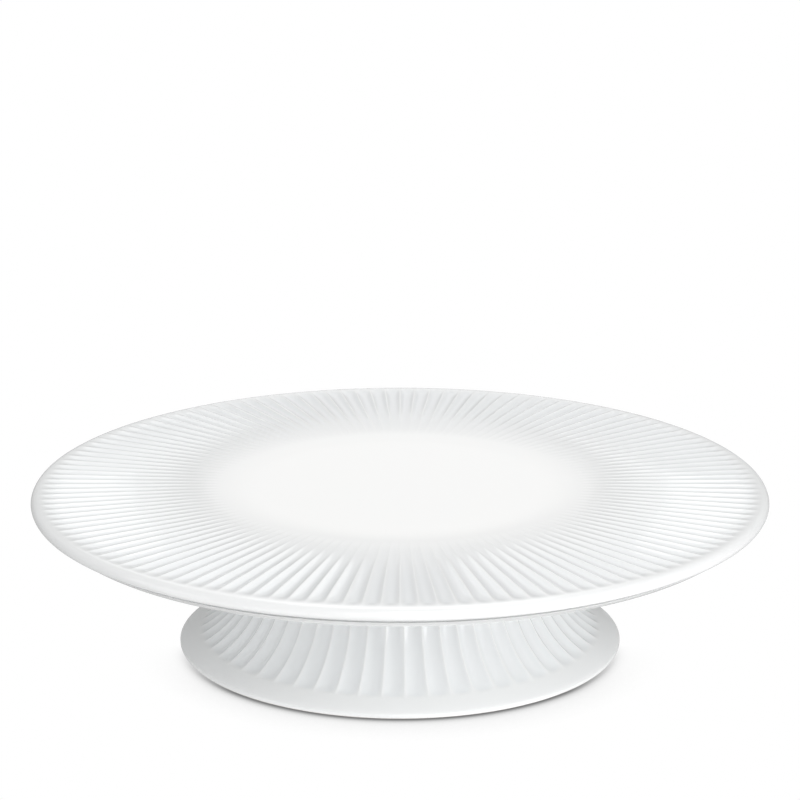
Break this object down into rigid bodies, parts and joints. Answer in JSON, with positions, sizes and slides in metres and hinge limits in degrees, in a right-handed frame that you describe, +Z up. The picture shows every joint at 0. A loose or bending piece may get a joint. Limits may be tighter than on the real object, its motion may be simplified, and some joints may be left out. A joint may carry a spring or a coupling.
{
  "type": "cake stand",
  "caption": "Low footed cake stand in white glazed porcelain: flat round plate with fine radial flutes and a rounded lip, on a short hollow flared foot with matching flutes.",
  "frame": {"origin": "on the table, at the centre of the foot ring", "axes": "+Z up along the axis of the plate and foot; -Y is the front; X and Y lie in the table"},
  "size_m": [0.34, 0.34, 0.0756],
  "materials": {
    "plate_glaze": "white porcelain under a clear satin-gloss glaze",
    "foot_glaze": "white porcelain under a clear satin-gloss glaze, wiped off the foot ring",
    "fired_slip": "fired porcelain slip, slightly matt"
  },
  "bodies": {
    "root": {"plate": "plate_glaze", "foot": "foot_glaze", "joining_slip": "fired_slip"}
  },
  "joints": []
}
